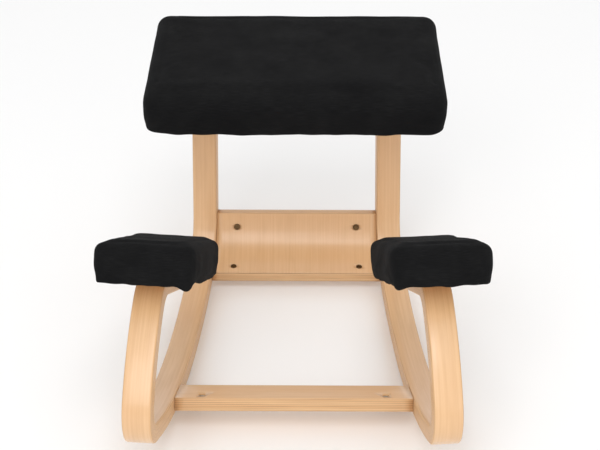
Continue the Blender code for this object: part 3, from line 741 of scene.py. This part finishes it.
def box_grid(size, height, corner, roll, front):
    """An even quad cover, open underneath: a top that slopes down near the front, rolled edges,
    sides that draw in to the hem, and a folded hem."""
    width, depth = size
    side_low = -SKIRT + HEM_RADIUS
    nx, ny = round(width / CLOTH_GRID), round(depth / CLOTH_GRID)
    nz = round((height - side_low) / CLOTH_GRID)
    hem = hem_profile()
    bm = bmesh.new()
    weave = bm.loops.layers.uv.new("weave")
    found = {}

    def on_surface(i, j, k):
        flat = Vector(((i / nx - 0.5) * width, (j / ny - 0.5) * depth,
                       height - min(k, nz) / nz * (height - side_low)))
        core = Vector((max(corner - width / 2, min(flat.x, width / 2 - corner)),
                       max(corner - depth / 2, min(flat.y, depth / 2 - corner)), 0.0))
        plan = Vector((flat.x - core.x, flat.y - core.y, 0.0))
        reach = max(abs(plan.x), abs(plan.y))
        plan = plan.normalized() if reach > 0 else plan
        if k > nz:
            inward, level = hem[k - nz - 1]
            return core + plan * (corner - inward - TUCK) + Vector((0, 0, level))
        edge = Vector((max(reach - corner + roll, 0.0), max(flat.z - height + roll, 0.0)))
        level = flat.z
        if edge.length > 0:
            edge = edge.normalized() * roll
            reach = corner - roll + edge.x
            if flat.z >= height - roll:
                level = height - roll + edge.y
        draw = TUCK * (1 - settle((level - side_low) / TUCK_HEIGHT)) if k > 0 else 0.0
        spot = core + plan * (reach - draw) + Vector((0, 0, level))
        front_reach, front_drop = front
        near = min(max(1 - (spot.y + depth / 2) / front_reach, 0.0), 1.0)
        lift = max(level - BOARD_TOP, 0.0) / (height - BOARD_TOP)
        spot.z -= front_drop * (1 - math.sqrt(1 - near ** 2)) * lift
        return spot

    def vert(key):
        if key not in found:
            found[key] = bm.verts.new(on_surface(*key))
        return found[key]

    def quad(keys, uvs):
        face = bm.faces.new([vert(key) for key in keys])
        face.smooth = True
        for loop, uv in zip(face.loops, uvs):
            loop[weave].uv = uv

    g = CLOTH_GRID
    for i in range(nx):
        for j in range(ny):
            quad([(i, j, 0), (i + 1, j, 0), (i + 1, j + 1, 0), (i, j + 1, 0)],
                 [(a * g, b * g) for a, b in ((i, j), (i + 1, j), (i + 1, j + 1), (i, j + 1))])
    for k in range(nz + len(hem)):
        for i in range(nx):
            for j, way in ((0, -1), (ny, 1)):
                keys = [(i, j, k), (i, j, k + 1), (i + 1, j, k + 1), (i + 1, j, k)]
                quad(keys, [(a * g, (b + way * c) * g) for a, b, c in keys])
        for j in range(ny):
            for i, way in ((0, -1), (nx, 1)):
                keys = [(i, j, k), (i, j + 1, k), (i, j + 1, k + 1), (i, j, k + 1)]
                quad(keys, [((a + way * c) * g, b * g) for a, b, c in keys])
    bmesh.ops.recalc_face_normals(bm, faces=bm.faces)
    return bm


def inflate(obj, cap):
    """Puff the cover out by cloth simulation, moving no point further than cap or into the foam."""
    mesh = obj.data
    start = [(vertex.co.copy(), vertex.normal.copy()) for vertex in mesh.vertices]
    pins = obj.vertex_groups.new(name="pins")
    pins.add([v.index for v in mesh.vertices if v.co.z < PINNED_BELOW], 1.0, "REPLACE")
    cloth = obj.modifiers.new("cloth", "CLOTH")
    for key, value in CLOTH.items():
        setattr(cloth.settings, key, value)
    cloth.settings.vertex_group_mass = "pins"
    cloth.settings.effector_weights.gravity = 0.0
    cloth.collision_settings.use_self_collision = False
    scene = bpy.context.scene
    for step in range(1, CLOTH_FRAMES + 1):
        scene.frame_set(step)
    evaluated = obj.evaluated_get(bpy.context.evaluated_depsgraph_get())
    moved = [vertex.co.copy() for vertex in evaluated.data.vertices]
    obj.modifiers.remove(cloth)
    obj.vertex_groups.clear()
    scene.frame_set(1)
    for vertex, (before, normal), after in zip(mesh.vertices, start, moved):
        move = after - before
        move -= normal * min(move.dot(normal), 0.0)
        if move.length > cap:
            move *= cap / move.length
        vertex.co = before + move


def ripple(point, seed, waves):
    """A sum of smooth noise at a point."""
    total = 0.0
    for offset, scale, share in waves:
        shift = seed + offset
        total += share * noise.noise(Vector((point.x * scale + shift, point.y * scale - shift,
                                             point.z * scale + 0.5 * shift)))
    return total


def wrinkle(obj, size, height, seed, strength, lobes):
    """Give the cover its small wrinkles: gathers at the hem, folds at the corners and a gentle
    unevenness on top. lobes are (x, y, reach, drop) where the hem hangs lower or is pulled up."""
    width, depth = size
    mesh = obj.data
    mesh.update()
    normals = [vertex.normal.copy() for vertex in mesh.vertices]
    for vertex, normal in zip(mesh.vertices, normals):
        point = vertex.co.copy()
        low = 1 - settle((point.z + SKIRT) / (height * GATHER_HEIGHT))
        side = 1 - abs(normal.z)
        corner = settle(1 - (width / 2 - abs(point.x)) / CORNER_REACH)
        corner *= settle(1 - (depth / 2 - abs(point.y)) / CORNER_REACH)
        drawn = Vector((point.x, point.y, point.z * GATHER_STRETCH))
        folded = Vector((point.x, point.y, point.z * PLEAT_STRETCH))
        move = ripple(point, seed, CLOUD_WAVES) * CLOUD_DEPTH
        move += ripple(drawn, seed, GATHER_WAVES) * low * side * GATHER_DEPTH
        move += ripple(folded, seed, PLEAT_WAVES) * corner * side * (0.5 + low) * PLEAT_DEPTH
        move *= strength
        vertex.co = point + normal * move
        hem = 1 - settle((point.z + SKIRT) / SWAY_HEIGHT)
        if hem > 0:
            sway = ripple(Vector((point.x, point.y, 0.0)), seed, SWAY_WAVES)
            drop = sway * SWAY_DEPTH * strength + CORNER_LIFT * corner ** 3
            for x, y, reach, depth_of_lobe in lobes:
                far = math.hypot(point.x - x, point.y - y) / reach
                drop -= depth_of_lobe * settle(1 - far)
            vertex.co.z += drop * hem


def cover(name, shape, place, seed, crown, strength, lobes, nodes):
    """A sewn cover over its foam, shaped by cloth simulation and then wrinkled.

    shape is (size, height, corner, roll, front), as for box_grid.
    """
    made = object_from(box_grid(*shape), name, (WEAVE,))
    inflate(made, crown)
    size, height, *_ = shape
    wrinkle(made, size, height, seed, strength, lobes)
    finer = made.modifiers.new("finer", "SUBSURF")
    finer.levels = finer.render_levels = 1
    thick = made.modifiers.new("thick", "SOLIDIFY")
    thick.thickness = FABRIC_THICKNESS
    thick.offset = -1.0
    apply_modifiers(made)
    made.data.transform(place)
    finish_piece(made, "black_fabric", *nodes)


def seat_place():
    """The seat board's bottom centre, tilted down to the front, as in the CAD."""
    tilt = math.radians(SEAT_TILT_DEG)
    tip, _ = PATH[0]
    rest = tip + Vector((math.sin(tilt), math.cos(tilt))) * STRIP_THICKNESS / 2
    middle = SEAT_REAR_STATION + SEAT_SIZE[1] / 2 * math.cos(tilt)
    height = rest.y - (middle - rest.x * math.cos(SPLAY)) * math.tan(tilt)
    return Matrix.Translation((0.0, ORIGIN_SHIFT - middle, height)) @ Matrix.Rotation(tilt, 4, "X")


def knee_place(side):
    """A knee board's bottom centre, in line with its side frame, as in the CAD."""
    tilt = math.radians(KNEE_TILT_DEG)
    tip, heading = PATH[-1]
    normal = -Vector((-math.sin(heading), math.cos(heading)))
    rest = tip + normal * STRIP_THICKNESS / 2
    station = KNEE_FRONT_STATION - KNEE_SIZE[1] / 2 * math.cos(tilt)
    height = rest.y + (station - rest.x) * math.tan(tilt)
    at = to_world(side, station, height, STRIP_WIDTH / 2 - KNEE_INWARD)
    turn = Matrix.Rotation(side * SPLAY, 4, "Z") @ Matrix.Rotation(-tilt, 4, "X")
    return Matrix.Translation(at) @ turn


def cushions():
    seat = (SEAT_SIZE, SEAT_HEIGHT, SEAT_CORNER, SEAT_ROLL, SEAT_FRONT)
    cover("seat_cover_visual", seat, seat_place(), SEAT_SEED, SEAT_CROWN, SEAT_WRINKLES, (),
          ("seat_cover", "seat_foam"))
    knee = (KNEE_SIZE, KNEE_HEIGHT, KNEE_CORNER, KNEE_ROLL, KNEE_FRONT)
    half_x, half_y = KNEE_SIZE[0] / 2, KNEE_SIZE[1] / 2
    for name, side in SIDES:
        inner = -side * half_x
        lobes = ((inner * 0.9, -half_y * 0.97, 22 * MM, 9 * MM),    # hangs low at the front
                 (inner, -half_y * 0.62, 40 * MM, -5 * MM))         # and is pulled up behind it
        cover(f"knee_cover_{name}_visual", knee, knee_place(side), KNEE_SEED + KNEE_SEED_STEP * side,
              KNEE_CROWN, KNEE_WRINKLES, lobes, (f"knee_{name}_cover", f"knee_{name}_foam"))


# ---------------------------------------------------------------- the CAD's own pieces

def dress_cad():
    """Give every CAD piece that still shows its own finish."""
    for name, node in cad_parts.items():
        if node.hide_render:
            continue
        if name.startswith(("plate_", "crossbar_bolt")):
            surface = BRONZE
        elif "bolt" in name or "nut" in name:
            surface = ZINC
        else:
            surface = BOARD
        node.data.materials.clear()
        node.data.materials.append(surface)


# ---------------------------------------------------------------- floor, lights and camera

def studio():
    bm = bmesh.new()
    bmesh.ops.create_grid(bm, x_segments=FLOOR_CELLS, y_segments=FLOOR_CELLS, size=FLOOR_HALF)
    floor = object_from(bm, "floor", (floor_paint(),))
    world = bpy.data.worlds.new("studio")
    bpy.context.scene.world = world
    world.use_nodes = True
    background = world.node_tree.nodes["Background"]
    background.inputs["Color"].default_value = WHITE
    background.inputs["Strength"].default_value = WORLD_STRENGTH
    for light in LIGHTS:
        area(*light)


def area(name, at, aim, size, power):
    light = bpy.data.lights.new(name, "AREA")
    light.shape = "SQUARE"
    light.size = size
    light.energy = power
    made = bpy.data.objects.new(name, light)
    made.location = at
    made.rotation_euler = (Vector(at) - Vector(aim)).to_track_quat("Z", "Y").to_euler()
    bpy.context.scene.collection.objects.link(made)


def camera():
    lens = bpy.data.cameras.new("camera")
    lens.lens = CAMERA_LENS
    lens.sensor_width = SENSOR_WIDTH
    lens.clip_start = CLIP_START
    made = bpy.data.objects.new("camera", lens)
    made.location = CAMERA_PLACE
    made.rotation_euler = (math.radians(90 - CAMERA_DOWN_DEG), 0.0, math.radians(CAMERA_TURN_DEG))
    bpy.context.scene.collection.objects.link(made)
    bpy.context.scene.camera = made
    bpy.context.scene.view_settings.view_transform = "Standard"


# ---------------------------------------------------------------- the whole scene

camera()
for side_name, side_sign in SIDES:
    strip = side_strip(f"side_strip_{side_name}", side_sign)
    finish_piece(strip, "birch_lacquered", f"side_frame_{side_name}")
back_plate()
crossbar()
cushions()
dress_cad()
studio()
